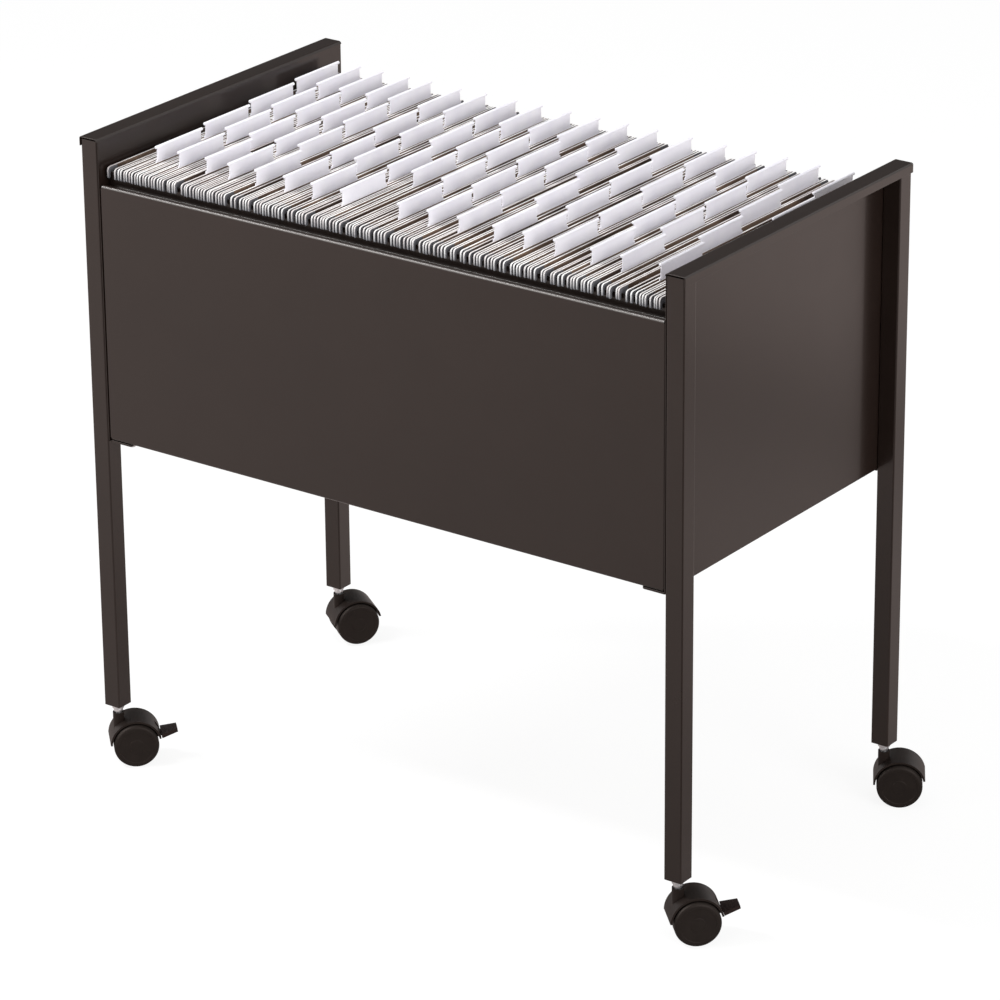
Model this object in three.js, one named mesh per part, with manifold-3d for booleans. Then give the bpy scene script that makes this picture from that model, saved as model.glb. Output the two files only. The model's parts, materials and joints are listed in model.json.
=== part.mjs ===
// Mobile file cart: a steel suspension-file trolley on four hooded twin-wheel castors.
// Millimetres, +Z up, X along the row of files, Y across the depth, front at -Y.
// The origin is on the floor, under the middle of the four legs.

import * as THREE from 'three';
import { mergeVertices } from 'three/addons/utils/BufferGeometryUtils.js';
import Module from 'manifold-3d';

// Cart, over the legs and up to the top of the end rails
const cartLength = 726;
const cartDepth = 398;
const cartHeight = 690;

// Clearances
const seatGap = 0.3;
const runningGap = 0.05;

// How far a cutter runs past a face, and how far two joined shapes lap
const cutPast = 1;
const joinLap = 1;

// Sides of round and hexagonal bars, and steps in a quarter of an arc or corner
const roundSides = 12;
const hexSides = 6;
const arcSteps = 12;
const cornerSteps = 2;
const weldDistance = 1e-4;

// Square-tube legs
const legWidth = 20;
const legWall = 1.2;
const legCorner = 1.6;
const smallestCorner = 0.2;

// Folded sheet of the end panels and of the front and back panels
const sheet = 1;
const railLip = 10;
const railOverhang = 1;
const endWallInset = 2;
const panelDrop = 48;
const panelHeight = 274;
const panelRecess = 1;
const shelfWidth = 14;
const lipClear = 5.3;
const bottomFlange = 18;
const endFlange = 18;

// Screws, their weld nuts and the corner brackets
const screwRadius = 2.5;
const screwHeadRadius = 4.6;
const screwHeadHeight = 2.8;
const screwHoleGap = 0.25;
const screwReach = 6;
const upperScrewDrop = 26;
const weldNutFlats = 8;
const weldNutHeight = 4;
const bracketLength = 28;
const bracketWidth = 16;
const bracketThickness = 2.5;
const bracketScrewInset = 5;

// Threaded insert in each leg and the castor stem
const insertHeight = 20;
const threadRadius = 4;
const threadLength = 16;
const nutFlats = 13;
const nutHeight = 6;
const collarRadius = 5;
const collarHeight = 3;
const pivotRadius = 4;
const pivotLength = 24;

// Castor: hood, wheels and axle
const wheelRadius = 24;
const wheelWidth = 15.5;
const wheelSides = 20;
const wheelEdge = 3;
const wheelBevel = 0.9;
const wheelCrown = 0.6;
const wheelSideGap = 0.6;
const hoodGap = 1;
const hoodWall = 2;
const wheelProud = 3.8;
const leadTipRise = 1;
const trailTipRise = 6;
const webWidth = 12;
const bossRise = 5.5;
const trail = 16.5;
const axleRadius = 3;
const axleBoss = 7;
const hubCap = 4;

// Brake lever of the two front castors
const leverPivotInset = 9;
const leverPivotRise = 3;
const leverPinRadius = 1.5;
const leverBarrel = 3.6;
const leverSideGap = 0.3;
const leverEar = 2.2;
const leverEarRing = 1;
const pedalClear = 0.5;
const leverArmThickness = 5;
const pedalLength = 17.5;
const pedalRoot = 22;
const pedalTip = 17;
const pedalThickness = 4;
const leverTilt = 14;
const leverSlotClear = 2.4;
const leverSlotUp = 14;

// How far each castor has swivelled about its stem, in degrees from +X
const swivels = { front_left: 44.5, front_right: 44.5, back_left: 54, back_right: 32 };

// Hanging files
const blockCount = 12;
const filesPerBlock = 8;
const blockGap = 0.6;
const fileEndGap = 2;
const hangGap = 0.3;
const barHeight = 12;
const hookDepth = 6;
const hookTooth = 4;
const hookSlack = 1;
const hangerWidth = 4.4;
const folderHeight = 238;
const folderInset = 9;
const folderTopDrop = 4;
const tabSteps = 4;
const tabGap = 11;
const tabFrontInset = 38.5;
const tabBackInset = 12.5;
const tabRise = 17.5;
const tabThickness = 1.6;
const tabColumns = 19;
const columnSpacing = 4.53;
const columnSpread = 0.03;
const bareTab = { column: 8, step: 3 };

// Levels and places worked out from the sizes above
const axleHeight = wheelRadius * Math.cos(Math.PI / wheelSides);
const hoodInner = wheelRadius + hoodGap;
const hoodOuter = hoodInner + hoodWall;
const webHalf = webWidth / 2;
const wheelInner = webHalf + wheelSideGap;
const wheelOuter = wheelInner + wheelWidth;
const hoodHalf = wheelOuter - wheelProud;
const leverPivot = [trail + hoodOuter - leverPivotInset, axleHeight + leverPivotRise];
const leverSlotHalf = webHalf - leverEar;
const leverHalf = leverSlotHalf - leverSideGap;
const pedalStart = leverPivotInset + pedalClear;
const bossTop = axleHeight + hoodOuter + bossRise;
const collarBottom = bossTop + seatGap;
const nutBottom = collarBottom + collarHeight;
const legFoot = nutBottom + nutHeight + seatGap;
const legTop = cartHeight - sheet - seatGap;
const legCentreX = cartLength / 2 - legWidth / 2;
const legCentreY = cartDepth / 2 - legWidth / 2;
const legInnerX = cartLength / 2 - legWidth;
const legBore = legWidth - 2 * legWall;
const legBoreCorner = Math.max(legCorner - legWall, smallestCorner);
const endWallOuter = legInnerX - seatGap;
const endWallInner = endWallOuter - sheet;
const panelTop = cartHeight - panelDrop;
const panelBottom = panelTop - panelHeight;
const panelEnd = endWallInner - seatGap;
const panelFace = cartDepth / 2 - panelRecess;
const lipOuter = panelFace - shelfWidth + sheet;
const lipInner = lipOuter - sheet;
const lipTop = panelTop + lipClear + hookDepth - hangGap;
const screwHole = screwRadius + screwHoleGap;
const upperScrewY = panelFace - endFlange / 2;
const upperScrewZ = panelTop - upperScrewDrop;
const bracketTop = panelBottom - seatGap;
const bracketScrewX = endWallOuter - bracketLength + bracketScrewInset;
const bracketScrewY = panelFace - bottomFlange / 2;
const hookCeiling = lipTop + hangGap;
const hookBottom = hookCeiling - hookDepth;
const barTop = hookBottom + barHeight;
const barEnd = lipOuter + hookSlack + hookTooth;
const folderHalf = lipInner - folderInset;
const folderTop = barTop - folderTopDrop;
const folderBottom = barTop - folderHeight;
const tabRow = 2 * barEnd - tabFrontInset - tabBackInset;
const tabLength = (tabRow - (tabSteps - 1) * tabGap) / tabSteps;

// Finishes
const paint = { color: 0x3e3734, roughness: 0.42, metalness: 0.3 };
const zinc = { color: 0xb9bcc0, roughness: 0.3, metalness: 0.9 };
const blackPlastic = { color: 0x262424, roughness: 0.55, metalness: 0 };
const leverPlastic = { color: 0x2a1f20, roughness: 0.5, metalness: 0 };
const filePaper = { color: 0xe4e1e4, roughness: 0.8, metalness: 0 };

const wasm = await Module();
wasm.setup();
const cart = new THREE.Group();

// A closed geometry as a solid that can be joined and cut
function solid(geometry) {
  const bare = geometry.clone();
  bare.deleteAttribute('normal');
  bare.deleteAttribute('uv');
  const merged = mergeVertices(bare, weldDistance);
  const corners = merged.index.array;
  const kept = [];
  for (let i = 0; i < corners.length; i += 3) {
    const [a, b, c] = [corners[i], corners[i + 1], corners[i + 2]];
    if (a !== b && b !== c && c !== a) kept.push(a, b, c);
  }
  const vertProperties = merged.attributes.position.array;
  const triVerts = Uint32Array.from(kept);
  return new wasm.Manifold(new wasm.Mesh({ numProp: 3, vertProperties, triVerts }));
}

// The solid's surface as a geometry
function surface(body) {
  const mesh = body.getMesh();
  const geometry = new THREE.BufferGeometry();
  geometry.setAttribute('position', new THREE.BufferAttribute(Float32Array.from(mesh.vertProperties), 3));
  geometry.setIndex(Array.from(mesh.triVerts));
  geometry.computeVertexNormals();
  return geometry;
}

// A named sub-part in its group
function addPart(group, name, body, finish) {
  const mesh = new THREE.Mesh(surface(body), new THREE.MeshStandardMaterial(finish));
  mesh.name = name;
  group.add(mesh);
}

// A box between two corners, given in any order
function box(x0, x1, y0, y1, z0, z1) {
  const geometry = new THREE.BoxGeometry(Math.abs(x1 - x0), Math.abs(y1 - y0), Math.abs(z1 - z0));
  geometry.translate((x0 + x1) / 2, (y0 + y1) / 2, (z0 + z1) / 2);
  return solid(geometry);
}

// A round bar along X, Y or Z, from one end to the other, centred on the two other coordinates
function rod(axis, radius, from, to, centre, sides = roundSides) {
  const geometry = new THREE.CylinderGeometry(radius, radius, Math.abs(to - from), sides);
  const middle = (from + to) / 2;
  if (axis === 'x') {
    geometry.rotateZ(-Math.PI / 2);
    geometry.translate(middle, centre[0], centre[1]);
  } else if (axis === 'y') {
    geometry.translate(centre[0], middle, centre[1]);
  } else {
    geometry.rotateX(Math.PI / 2);
    geometry.translate(centre[0], centre[1], middle);
  }
  return solid(geometry);
}

// Corner radius of a hexagon from its width across flats
function hexRadius(flats) {
  return flats / 2 / Math.cos(Math.PI / hexSides);
}

// A cutter for a round hole: its flats clear the given radius, whichever way the pin inside is turned
function bore(axis, radius, from, to, centre) {
  return rod(axis, radius / Math.cos(Math.PI / roundSides), from, to, centre);
}

// A closed outline from corner points
function outline(points) {
  return new THREE.Shape(points.map(([u, v]) => new THREE.Vector2(u, v)));
}

// An outline in the XY plane, carried up along Z between two levels
function alongZ(shape, z0, z1, curveSegments) {
  const geometry = new THREE.ExtrudeGeometry(shape, { depth: z1 - z0, bevelEnabled: false, curveSegments });
  geometry.translate(0, 0, z0);
  return solid(geometry);
}

// An outline in the XZ plane, carried along Y between two places
function alongY(shape, y0, y1) {
  const settings = { depth: y1 - y0, bevelEnabled: false, curveSegments: arcSteps };
  const geometry = new THREE.ExtrudeGeometry(shape, settings);
  geometry.rotateX(Math.PI / 2);
  geometry.translate(0, y1, 0);
  return solid(geometry);
}

// An outline in the YZ plane, carried along X between two places
function alongX(shape, x0, x1) {
  const geometry = new THREE.ExtrudeGeometry(shape, { depth: x1 - x0, bevelEnabled: false });
  geometry.rotateX(Math.PI / 2);
  geometry.rotateZ(Math.PI / 2);
  geometry.translate(x0, 0, 0);
  return solid(geometry);
}

// A square with rounded corners, centred on the origin
function roundedSquare(width, radius) {
  const half = width / 2;
  const straight = half - radius;
  const shape = new THREE.Shape();
  shape.moveTo(-straight, -half);
  shape.lineTo(straight, -half);
  shape.absarc(straight, -straight, radius, -Math.PI / 2, 0);
  shape.absarc(straight, straight, radius, 0, Math.PI / 2);
  shape.absarc(-straight, straight, radius, Math.PI / 2, Math.PI);
  shape.absarc(-straight, -straight, radius, Math.PI, Math.PI * 1.5);
  return shape;
}

// A square bar with rounded corners standing on Z, from one level to another
function upright(width, radius, centre, z0, z1) {
  const bar = alongZ(roundedSquare(width, radius), z0, z1, cornerSteps);
  return bar.translate([centre[0], centre[1], 0]);
}

// A pan-head screw along X or Z: the head's seat, the way the shank points, and its centre
function screw(axis, seat, way, grip, centre) {
  const shank = rod(axis, screwRadius, seat - way * screwHeadHeight / 2, seat + way * grip, centre);
  const head = rod(axis, screwHeadRadius, seat - way * screwHeadHeight, seat, centre);
  return shank.add(head);
}

// One end panel: inner wall, rail folded over the leg ends and lip folded down outside
function endPanel(side) {
  const railEnd = cartDepth / 2 + railOverhang;
  const lipOut = cartLength / 2 + seatGap + sheet;
  const wallEnd = cartDepth / 2 - endWallInset;
  const railTop = cartHeight;
  const railUnder = cartHeight - sheet;
  const top = box(side * endWallInner, side * lipOut, -railEnd, railEnd, railUnder, railTop);
  const lip = box(side * (lipOut - sheet), side * lipOut, -railEnd, railEnd, cartHeight - railLip, railTop);
  const wall = box(side * endWallInner, side * endWallOuter, -wallEnd, wallEnd, panelBottom, railTop);
  let panel = top.add(lip).add(wall);
  for (const face of [-1, 1]) {
    const hole = [face * upperScrewY, upperScrewZ];
    const reach = [side * (endWallInner - cutPast), side * (endWallOuter + cutPast)];
    panel = panel.subtract(bore('x', screwHole, reach[0], reach[1], hole));
  }
  return panel;
}

// One long panel: face, shelf with hanging lip above, flanges at the foot and at both ends
function longPanel(face) {
  const inside = (width) => face * (panelFace - width);
  const front = inside(0);
  const wall = box(-panelEnd, panelEnd, front, inside(sheet), panelBottom, panelTop);
  const shelf = box(-panelEnd, panelEnd, front, face * lipInner, panelTop - sheet, panelTop);
  const lip = box(-panelEnd, panelEnd, face * lipOuter, face * lipInner, panelTop - sheet, lipTop);
  const foot = box(-panelEnd, panelEnd, front, inside(bottomFlange), panelBottom, panelBottom + sheet);
  let panel = wall.add(shelf).add(lip).add(foot);
  for (const side of [-1, 1]) {
    const plate = [side * (panelEnd - sheet), side * panelEnd];
    const cut = [side * (panelEnd - sheet - cutPast), side * (panelEnd + cutPast)];
    const seat = [side * bracketScrewX, face * bracketScrewY];
    const nutTop = panelBottom + sheet + weldNutHeight;
    const nutFoot = panelBottom + sheet / 2;
    const hole = [face * upperScrewY, upperScrewZ];
    panel = panel.add(box(plate[0], plate[1], front, inside(endFlange), panelBottom, panelTop));
    panel = panel.add(rod('z', hexRadius(weldNutFlats), nutFoot, nutTop, seat, hexSides));
    panel = panel.subtract(bore('z', screwHole, panelBottom - cutPast, nutTop + cutPast, seat));
    panel = panel.subtract(bore('x', screwHole, cut[0], cut[1], hole));
  }
  return panel;
}

// One leg, with the hole for its upper panel screw in the wall that faces the files
function leg(side, face) {
  const centre = [side * legCentreX, face * legCentreY];
  const bar = upright(legWidth, legCorner, centre, legFoot, legTop);
  const inside = upright(legBore, legBoreCorner, centre, legFoot - cutPast, legTop + cutPast);
  const cut = [side * (legInnerX - cutPast), side * (legInnerX + legWall + cutPast)];
  const hole = bore('x', screwHole, cut[0], cut[1], [face * upperScrewY, upperScrewZ]);
  return bar.subtract(inside).subtract(hole);
}

// Threaded insert that closes the foot of a leg and takes the castor stem
function legInsert(side, face) {
  const centre = [side * legCentreX, face * legCentreY];
  const top = legFoot + insertHeight;
  const plug = upright(legBore - 2 * seatGap, legBoreCorner, centre, legFoot, top);
  return plug.subtract(bore('z', threadRadius + runningGap, legFoot - cutPast, top + cutPast, centre));
}

// Plate welded to the leg under a lower panel corner, with the hole for its screw
function cornerBracket(side, face) {
  const x = [side * endWallOuter, side * (endWallOuter - bracketLength)];
  const y = [face * (legCentreY + bracketWidth / 2), face * (legCentreY - bracketWidth / 2)];
  const plate = box(x[0], x[1], y[0], y[1], bracketTop - bracketThickness, bracketTop);
  const seat = [side * bracketScrewX, face * bracketScrewY];
  const under = bracketTop - bracketThickness - cutPast;
  return plate.subtract(bore('z', screwHole, under, bracketTop + cutPast, seat));
}

// Castor stem, about Z: thread in the leg, hex nut, collar and the pivot that the hood turns on
function castorStem() {
  const thread = rod('z', threadRadius, nutBottom, legFoot + threadLength, [0, 0]);
  const nut = rod('z', hexRadius(nutFlats), nutBottom, nutBottom + nutHeight, [0, 0], hexSides);
  const collar = rod('z', collarRadius, collarBottom, nutBottom + nutHeight / 2, [0, 0]);
  const pivot = rod('z', pivotRadius, bossTop - pivotLength, collarBottom + collarHeight / 2, [0, 0]);
  return thread.add(nut).add(collar).add(pivot);
}

// Hood of a castor: shell over both wheels, web between them, boss for the stem, bore for the axle
function castorHood(braked) {
  const start = Math.asin(trailTipRise / hoodOuter);
  const end = Math.PI - Math.asin(leadTipRise / hoodOuter);
  const shell = new THREE.Shape();
  shell.absarc(trail, axleHeight, hoodOuter, start, end, false);
  shell.absarc(trail, axleHeight, hoodInner, end, start, true);
  const web = new THREE.Shape();
  web.absarc(trail, axleHeight, hoodInner + hoodWall / 2, start, end, false);
  const axle = [trail, axleHeight];
  const pivotEnd = bossTop - pivotLength - seatGap;
  const through = webHalf + cutPast;
  let hood = alongY(shell, -hoodHalf, hoodHalf);
  hood = hood.add(alongY(web, -webHalf, webHalf));
  hood = hood.add(rod('y', axleBoss, -webHalf, webHalf, axle));
  hood = hood.add(rod('z', webHalf, axleHeight, bossTop, [0, 0]));
  hood = hood.subtract(bore('z', pivotRadius + runningGap, pivotEnd, bossTop + cutPast, [0, 0]));
  hood = hood.subtract(bore('y', axleRadius + runningGap, -through, through, axle));
  if (!braked) return hood;
  const [pinX, pinZ] = leverPivot;
  const slotReach = leverBarrel + leverSlotClear;
  const slotX = [pinX - slotReach, pinX + hoodOuter];
  const slotZ = [pinZ - slotReach, pinZ + leverSlotUp];
  hood = hood.add(rod('y', leverBarrel + leverEarRing, -webHalf, webHalf, leverPivot));
  hood = hood.subtract(box(...slotX, -leverSlotHalf, leverSlotHalf, ...slotZ));
  return hood.subtract(bore('y', leverPinRadius + runningGap, -through, through, leverPivot));
}

// One wheel on the axle, its closed face away from the hood's web
function castorWheel(way) {
  const hub = (axleRadius + runningGap) / Math.cos(Math.PI / wheelSides);
  const profile = [
    [0, wheelOuter - hubCap],
    [hub, wheelOuter - hubCap],
    [hub, wheelInner],
    [wheelRadius - wheelBevel, wheelInner],
    [wheelRadius, wheelInner + wheelBevel],
    [wheelRadius, wheelOuter - wheelEdge],
    [wheelRadius - wheelBevel, wheelOuter - wheelBevel],
    [wheelRadius - wheelEdge, wheelOuter],
    [0, wheelOuter + wheelCrown],
  ].map(([radius, out]) => new THREE.Vector2(radius, out));
  const geometry = new THREE.LatheGeometry(profile, wheelSides, Math.PI / wheelSides);
  if (way < 0) geometry.rotateZ(Math.PI);
  geometry.translate(trail, 0, axleHeight);
  return solid(geometry);
}

// Axle through the web, ending inside both wheels
function castorAxle() {
  const reach = wheelOuter - hubCap - seatGap;
  return rod('y', axleRadius, -reach, reach, [trail, axleHeight]);
}

// Brake lever: barrel on its pin, arm through the hood and tapered pedal outside, tilted up when released
function brakeLever() {
  const armHalf = leverArmThickness / 2;
  const pedalHalf = pedalThickness / 2;
  const pedalEnd = pedalStart + pedalLength;
  const through = leverHalf + cutPast;
  const arm = box(0, pedalStart + joinLap, -leverHalf, leverHalf, -armHalf, armHalf);
  const plan = outline([
    [pedalStart, -pedalRoot / 2],
    [pedalEnd, -pedalTip / 2],
    [pedalEnd, pedalTip / 2],
    [pedalStart, pedalRoot / 2],
  ]);
  const pedal = alongZ(plan, -pedalHalf, pedalHalf);
  const barrel = rod('y', leverBarrel, -leverHalf, leverHalf, [0, 0]);
  const hole = bore('y', leverPinRadius + runningGap, -through, through, [0, 0]);
  const lever = barrel.add(arm).add(pedal).subtract(hole);
  const geometry = surface(lever);
  geometry.rotateY(-THREE.MathUtils.degToRad(leverTilt));
  geometry.translate(leverPivot[0], 0, leverPivot[1]);
  return solid(geometry);
}

// Pin of the brake lever, held in the two ears of the hood's web
function leverPin() {
  return rod('y', leverPinRadius, -webHalf, webHalf, leverPivot);
}

// Which step across the depth a file's label tab stands at, back to front, or -1 for none
function tabStep(file) {
  for (let column = tabColumns - 1; column >= 0; column -= 1) {
    const first = Math.round(columnSpacing * column + columnSpread * column * (column - 1));
    const step = file - first;
    const bare = column === bareTab.column && step === bareTab.step;
    if (step >= 0) return step < tabSteps && !bare ? step : -1;
  }
  return -1;
}

// Hanger of one file in the YZ plane, with a hook over the lip at each end
function hangerOutline() {
  const notchOuter = lipOuter + hookSlack;
  const notchInner = lipInner - hookSlack;
  const half = [
    [barEnd, barTop],
    [barEnd, hookBottom],
    [notchOuter, hookBottom],
    [notchOuter, hookCeiling],
    [notchInner, hookCeiling],
    [notchInner, hookBottom],
  ];
  const mirrored = half.map(([y, z]) => [-y, z]).reverse();
  return outline([...mirrored, ...half]);
}

// One block of hanging files: folders hung together, hangers above them and label tabs on top
function fileBlock(block) {
  const rowEnd = panelEnd - fileEndGap;
  const pitch = (2 * rowEnd - blockGap * (blockCount - 1)) / (blockCount * filesPerBlock);
  const start = -rowEnd + block * (filesPerBlock * pitch + blockGap);
  const end = start + filesPerBlock * pitch;
  let files = box(start, end, -folderHalf, folderHalf, folderBottom, folderTop);
  for (let i = 0; i < filesPerBlock; i += 1) {
    const x = start + (i + 0.5) * pitch;
    files = files.add(alongX(hangerOutline(), x - hangerWidth / 2, x + hangerWidth / 2));
    const step = tabStep(block * filesPerBlock + i);
    if (step < 0) continue;
    const tabBack = barEnd - tabBackInset - step * (tabLength + tabGap);
    const tab = [x - tabThickness / 2, x + tabThickness / 2, tabBack - tabLength, tabBack];
    files = files.add(box(...tab, folderTop - joinLap, barTop + tabRise));
  }
  return files;
}

// Frame: legs with their inserts, brackets and screws at each corner
for (const [face, front] of [[-1, 'front'], [1, 'back']]) {
  for (const [side, hand] of [[-1, 'left'], [1, 'right']]) {
    const corner = `${front}_${hand}`;
    const seat = [side * bracketScrewX, face * bracketScrewY];
    const bracketSeat = bracketTop - bracketThickness - seatGap;
    const bracketGrip = bracketThickness + sheet + weldNutHeight + 2 * seatGap;
    const flangeSeat = side * (panelEnd - sheet - seatGap);
    const upperGrip = legInnerX - panelEnd + sheet + seatGap + screwReach;
    const upper = [face * upperScrewY, upperScrewZ];
    addPart(cart, `leg_${corner}`, leg(side, face), paint);
    addPart(cart, `leg_insert_${corner}`, legInsert(side, face), blackPlastic);
    addPart(cart, `corner_bracket_${corner}`, cornerBracket(side, face), paint);
    addPart(cart, `bracket_screw_${corner}`, screw('z', bracketSeat, 1, bracketGrip, seat), zinc);
    addPart(cart, `panel_screw_${corner}`, screw('x', flangeSeat, side, upperGrip, upper), zinc);
  }
}

// Sheet-steel panels
addPart(cart, 'end_panel_left', endPanel(-1), paint);
addPart(cart, 'end_panel_right', endPanel(1), paint);
addPart(cart, 'front_panel', longPanel(-1), paint);
addPart(cart, 'back_panel', longPanel(1), paint);

// Castors, each in a group that stands on its stem and is turned by its swivel
for (const [face, front] of [[-1, 'front'], [1, 'back']]) {
  for (const [side, hand] of [[-1, 'left'], [1, 'right']]) {
    const corner = `${front}_${hand}`;
    const braked = front === 'front';
    const castor = new THREE.Group();
    castor.position.set(side * legCentreX, face * legCentreY, 0);
    castor.rotation.z = THREE.MathUtils.degToRad(swivels[corner]);
    addPart(castor, `castor_stem_${corner}`, castorStem(), zinc);
    addPart(castor, `castor_hood_${corner}`, castorHood(braked), blackPlastic);
    addPart(castor, `castor_axle_${corner}`, castorAxle(), zinc);
    addPart(castor, `castor_wheel_a_${corner}`, castorWheel(-1), blackPlastic);
    addPart(castor, `castor_wheel_b_${corner}`, castorWheel(1), blackPlastic);
    if (braked) {
      addPart(castor, `brake_lever_${corner}`, brakeLever(), leverPlastic);
      addPart(castor, `brake_pin_${corner}`, leverPin(), zinc);
    }
    cart.add(castor);
  }
}

// Hanging files, in blocks that lift out
for (let block = 0; block < blockCount; block += 1) {
  addPart(cart, `files_${String(block + 1).padStart(2, '0')}`, fileBlock(block), filePaper);
}

export default cart;
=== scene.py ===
# Mobile file cart: a steel suspension-file trolley on four hooded twin-wheel castors.
# Metres, +Z up, X along the row of files, the front at -Y.

import json
import math

import bmesh
import bpy
from mathutils import Matrix, Vector


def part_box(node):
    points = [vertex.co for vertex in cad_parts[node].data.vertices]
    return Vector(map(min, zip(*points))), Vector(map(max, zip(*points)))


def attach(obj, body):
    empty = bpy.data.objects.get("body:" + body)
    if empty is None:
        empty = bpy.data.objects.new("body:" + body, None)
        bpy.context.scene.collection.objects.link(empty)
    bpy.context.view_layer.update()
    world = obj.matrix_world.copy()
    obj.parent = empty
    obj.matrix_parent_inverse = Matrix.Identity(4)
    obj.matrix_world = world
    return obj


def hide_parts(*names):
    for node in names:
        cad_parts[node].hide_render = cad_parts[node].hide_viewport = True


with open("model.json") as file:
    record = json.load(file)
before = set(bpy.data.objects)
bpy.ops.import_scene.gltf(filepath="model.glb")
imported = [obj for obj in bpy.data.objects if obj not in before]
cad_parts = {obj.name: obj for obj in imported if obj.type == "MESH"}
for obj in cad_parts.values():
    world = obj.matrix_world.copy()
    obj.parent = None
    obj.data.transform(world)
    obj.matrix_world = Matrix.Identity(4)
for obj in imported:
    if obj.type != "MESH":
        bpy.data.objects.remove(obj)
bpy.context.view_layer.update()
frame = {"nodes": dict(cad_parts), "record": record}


# Legs: four uprights of square steel tube with drawn, rounded corners, powder-coated dark brown.
# Each stands a little short of the rail over it, which shows as a thin dark line under the rail.

mm = 0.001
corners = ["front_left", "front_right", "back_left", "back_right"]
leg_corner = 1.6 * mm
leg_wall = 1.2 * mm
leg_top_gap = 1.4 * mm
corner_steps = 5
weld_distance = 0.01 * mm
side_facing = 0.7


class Wire:
    """One output of a node tree. Arithmetic on it adds Math nodes to that tree."""

    def __init__(self, tree, socket=None):
        self.tree = tree
        self.socket = socket

    def feed(self, socket, value):
        """Gives a socket a wire, several wires or a plain value."""
        if isinstance(value, list):
            for wire in value:
                self.tree.links.new(wire.socket, socket)
        elif isinstance(value, Wire):
            self.tree.links.new(value.socket, socket)
        else:
            socket.default_value = value

    def node(self, kind, sockets, out=0, **settings):
        """Adds a node, with its settings first and then its sockets, and gives one of its outputs."""
        node = self.tree.nodes.new(kind)
        for name, value in settings.items():
            setattr(node, name, value)
        for key, value in sockets.items():
            self.feed(node.inputs[key], value)
        return Wire(self.tree, node.outputs[out] if node.outputs else None)

    def math(self, operation, first, second):
        return self.node("ShaderNodeMath", {0: first, 1: second}, operation=operation)

    def __add__(self, other):
        return self.math("ADD", self, other)

    __radd__ = __add__

    def __sub__(self, other):
        return self.math("SUBTRACT", self, other)

    def __rsub__(self, other):
        return self.math("SUBTRACT", other, self)

    def __mul__(self, other):
        return self.math("MULTIPLY", self, other)

    __rmul__ = __mul__

    def noise(self, scale, detail=2.0):
        """Noise at this place, in patches of about one over the scale, in metres."""
        sockets = {"Vector": self, "Scale": scale, "Detail": detail}
        return self.node("ShaderNodeTexNoise", sockets, out="Fac")

    def between(self, first, second):
        """A colour between two, mixed by this wire."""
        return self.node("ShaderNodeMix", {0: self, 6: first, 7: second}, out=2, data_type="RGBA")

    def bump(self, height, depth, strength=1.0):
        """A surface normal that follows a height."""
        sockets = {"Height": height, "Distance": depth, "Strength": strength}
        return self.node("ShaderNodeBump", sockets, out="Normal")


def shade(red, green, blue):
    """A colour written in screen values, as the shaders take it."""
    def linear(value):
        value /= 255
        return value / 12.92 if value <= 0.04045 else ((value + 0.055) / 1.055) ** 2.4
    return (linear(red), linear(green), linear(blue), 1.0)


def new_finish(name, **constants):
    """A new material: the material, its shader and a wire with the place on the surface."""
    made = bpy.data.materials.new(name)
    made.use_nodes = True
    shader = made.node_tree.nodes["Principled BSDF"]
    for socket, value in constants.items():
        shader.inputs[socket.replace("_", " ")].default_value = value
    place = Wire(made.node_tree).node("ShaderNodeTexCoord", {}, out="Object")
    return made, shader, place


def powder_coat():
    """Dark brown paint baked on steel: fine orange peel, faint mottling, uneven gloss and a hard skin."""
    gloss = {"Specular_IOR_Level": 0.27, "Specular_Tint": (1.0, 0.93, 0.89, 1.0)}
    made, shader, place = new_finish("brown powder coat", Coat_Weight=0.3, Coat_Roughness=0.12, **gloss)
    mottling = place.noise(9, 3.0)
    peel = place.noise(750, 1.0)
    handling = place.noise(28, 4.0)
    colour = mottling.between(shade(27, 19, 16), shade(34, 25, 21))
    place.feed(shader.inputs["Base Color"], colour)
    place.feed(shader.inputs["Roughness"], 0.25 + 0.10 * handling)
    place.feed(shader.inputs["Normal"], place.bump(peel, 0.03 * mm, 0.35))
    return made


def sized_tree(name, inputs):
    """A new Geometry Nodes tree, and a wire from each of its named inputs."""
    tree = bpy.data.node_groups.new(name, "GeometryNodeTree")
    tree.interface.new_socket("Geometry", in_out="INPUT", socket_type="NodeSocketGeometry")
    for label, kind in inputs.items():
        tree.interface.new_socket(label, in_out="INPUT", socket_type="NodeSocket" + kind)
    tree.interface.new_socket("Geometry", in_out="OUTPUT", socket_type="NodeSocketGeometry")
    start = tree.nodes.new("NodeGroupInput")
    return tree, {socket.name: Wire(tree, socket) for socket in start.outputs if socket.name}


def end_tree(shape, finish, side_finish=None):
    """Ends a tree: instances become real and take their finish, with another on faces towards X."""
    real = shape.node("GeometryNodeRealizeInstances", {"Geometry": shape})
    dressed = real.node("GeometryNodeSetMaterial", {"Geometry": real, "Material": finish})
    if side_finish:
        facing = real.node("ShaderNodeSeparateXYZ", {0: real.node("GeometryNodeInputNormal", {})}, out="X")
        sides = facing.math("GREATER_THAN", facing * facing, side_facing)
        sockets = {"Geometry": dressed, "Selection": sides, "Material": side_finish}
        dressed = real.node("GeometryNodeSetMaterial", sockets)
    dressed.node("NodeGroupOutput", {0: dressed})


def new_object(name, mesh):
    """A mesh in the scene, at the origin."""
    made = bpy.data.objects.new(name, mesh)
    bpy.context.scene.collection.objects.link(made)
    return made


def plain_mesh(maker):
    """The mesh an object has after its modifiers. The object is then removed."""
    depsgraph = bpy.context.evaluated_depsgraph_get()
    mesh = bpy.data.meshes.new_from_object(maker.evaluated_get(depsgraph))
    maker.modifiers.clear()
    bpy.data.objects.remove(maker)
    return mesh


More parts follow.
